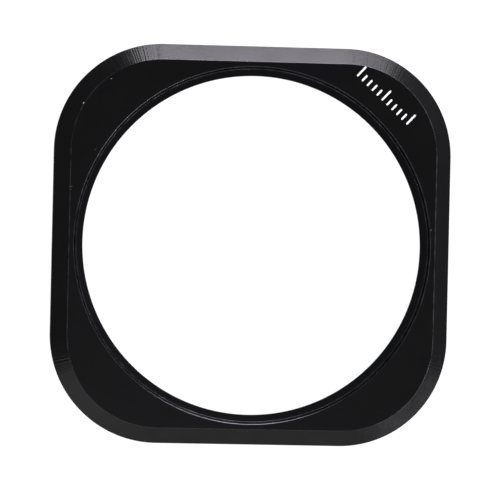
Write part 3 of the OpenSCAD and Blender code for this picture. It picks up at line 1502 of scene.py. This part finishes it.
@dataclass
class PhotoCamera:
    """A long lens almost straight above the filter, turned a little from its axis.

    Lengths are in millimetres and angles in degrees. right and up are the filter's place from the
    middle of the picture.
    """

    distance: float = 400.0
    yaw: float = 5.19
    pitch: float = 0.10
    roll: float = -1.287
    right: float = 0.299
    up: float = 0.479
    focal: float = 267.9
    sensor: float = 36.0
    near: float = 10.0
    far: float = 20000.0

    def build(self, face_z: float) -> None:
        """Sets the camera up.

        Args:
            face_z: Height of the front face, in millimetres, where the optical axis is aimed at.
        """
        turned = (
            Matrix.Rotation(math.radians(self.roll), 3, "Z")
            @ Matrix.Rotation(math.radians(self.pitch), 3, "X")
            @ Matrix.Rotation(math.radians(self.yaw), 3, "Y")
        )
        offset = Vector((self.right, self.up, -self.distance)) * MM
        data = bpy.data.cameras.new("photo")
        data.sensor_width = self.sensor
        data.lens = self.focal
        data.clip_start = self.near * MM
        data.clip_end = self.far * MM
        camera = bpy.data.objects.new("photo", data)
        bpy.context.scene.collection.objects.link(camera)
        place = -(turned.transposed() @ offset) + Vector((0.0, 0.0, face_z * MM))
        camera.matrix_world = Matrix.Translation(place) @ turned.transposed().to_4x4()
        bpy.context.scene.camera = camera
        log.info("camera at %s", [round(c, 4) for c in place])


@dataclass(frozen=True)
class Softbox:
    """One studio lamp that faces the filter: where it stands, its size and its radiance.

    Angles are in degrees and lengths in metres. The azimuth counts from +X.
    """

    name: str
    azimuth: float
    elevation: float
    distance: float
    width: float
    height: float
    radiance: float
    colour: str = "#ffffff"

    def build(self) -> None:
        """Puts the lamp into the scene, facing the filter."""
        azimuth, elevation = math.radians(self.azimuth), math.radians(self.elevation)
        way = Vector((
            math.cos(azimuth) * math.cos(elevation), math.sin(azimuth) * math.cos(elevation),
            math.sin(elevation)))
        data = bpy.data.lights.new(self.name, "AREA")
        data.shape = "RECTANGLE"
        data.size = self.width
        data.size_y = self.height
        data.energy = self.radiance * math.pi * self.width * self.height
        data.color = linear(self.colour)[:3]
        lamp = bpy.data.objects.new(self.name, data)
        bpy.context.scene.collection.objects.link(lamp)
        turn = way.to_track_quat("Z", "Y").to_matrix().to_4x4()
        lamp.matrix_world = Matrix.Translation(way * self.distance) @ turn
        lamp.visible_camera = False


def background_ray(tree: bpy.types.NodeTree) -> bpy.types.NodeSocket:
    """Tells the rays that see the background from those that light with it.

    Args:
        tree: The floor's or the world's tree.

    Returns:
        1 for camera, glossy and transmission rays, 0 for others.
    """
    path = add_node(tree, "ShaderNodeLightPath").outputs
    seen = add_node(tree, "ShaderNodeMath", {"operation": "MAXIMUM"}, {
        0: path["Is Camera Ray"], 1: path["Is Glossy Ray"]})
    through = add_node(tree, "ShaderNodeMath", {"operation": "MAXIMUM"}, {
        0: seen.outputs[0], 1: path["Is Transmission Ray"]})
    return through.outputs[0]


@dataclass
class Studio:
    """A pale floor, a pale surround and soft lamps."""

    # Half the floor's width, in metres, and its distance below the filter, in millimetres
    floor_half: float = 1.5
    floor_gap: float = 0.02
    floor_colour: str = "#f4f4f4"
    floor_roughness: float = 0.9
    # Share of the floor's own lit colour, which carries the shadow, in what the camera sees
    lit_share: float = 0.12
    # Strength of the plain white that makes up the rest
    glow: float = 1.1
    # Light that the surround gives to everything that isn't seen or mirrored
    fill: float = 0.6

    def floor(self) -> None:
        """Lays the floor just under the filter."""
        half, level = self.floor_half, -self.floor_gap * MM
        mesh = bpy.data.meshes.new("floor")
        corners = [(-half, -half, level), (half, -half, level), (half, half, level), (-half, half, level)]
        mesh.from_pydata(corners, [], [(0, 1, 2, 3)])
        material, shader = new_material("matte_white_paper")
        tree = material.node_tree
        plug(shader, {
            "Base Color": linear(self.floor_colour),
            "Roughness": self.floor_roughness,
            "Specular IOR Level": 0.0,
        })
        glow = add_node(tree, "ShaderNodeEmission", None, {"Strength": self.glow})
        share = add_node(tree, "ShaderNodeMath", {"operation": "MULTIPLY"}, {
            0: background_ray(tree), 1: 1 - self.lit_share})
        mixed = add_node(tree, "ShaderNodeMixShader", None, {
            0: share.outputs[0], 1: shader.outputs[0], 2: glow.outputs[0]})
        plug(tree.nodes["Material Output"], {"Surface": mixed.outputs[0]})
        mesh.materials.append(material)
        object_from("floor", mesh)

    def world(self) -> None:
        """Makes the surround: white where it is seen or mirrored, softer where it lights."""
        world = bpy.data.worlds.new("surround")
        world.use_nodes = True
        tree = world.node_tree
        level = add_node(tree, "ShaderNodeMapRange", None, {
            "Value": background_ray(tree), "To Min": self.fill, "To Max": 1.0})
        plug(tree.nodes["Background"], {"Color": linear("#ffffff"), "Strength": level.outputs[0]})
        bpy.context.scene.world = world

    def build(self) -> None:
        """Builds the floor, the surround and the lamps."""
        self.floor()
        self.world()
        # Azimuth, elevation, distance, width, height and radiance
        lamps = (
            Softbox("top_strip", 79.5, 6.0, 0.45, 0.35, 0.1, 98.0, "#fffbff"),
            Softbox("right_low", 38.0, 7.0, 0.5, 0.3, 0.13, 5.4),
            Softbox("bottom_low", 249.5, 7.0, 0.5, 1.04, 0.13, 7.0, "#fffaf4"),
            Softbox("corner_low", 320.0, 7.0, 0.5, 0.42, 0.13, 24.0),
            Softbox("over_face", 265.0, 60.0, 0.16, 0.06, 0.05, 10.0),
        )
        for lamp in lamps:
            lamp.build()
        bpy.context.scene.view_settings.view_transform = "Standard"


def main() -> None:
    """Builds the studio and every piece of the filter."""
    logging.basicConfig(level=logging.INFO, format="%(name)s: %(message)s")
    solids = Solids.from_frame()
    PhotoCamera().build(solids.face_z)
    Studio().build()
    lathe = Lathe()
    scale = IndexScale()
    pieces = (
        FilterFrame(solids).build(scale, TwistLugs()),
        scale.paint(solids.face_z),
        FilterGlass(solids).build(lathe),
        RetainingRing(solids).build(lathe),
        SealRing(solids).build(lathe),
    )
    for piece in pieces:
        report(piece)


if __name__ == "__main__":
    main()
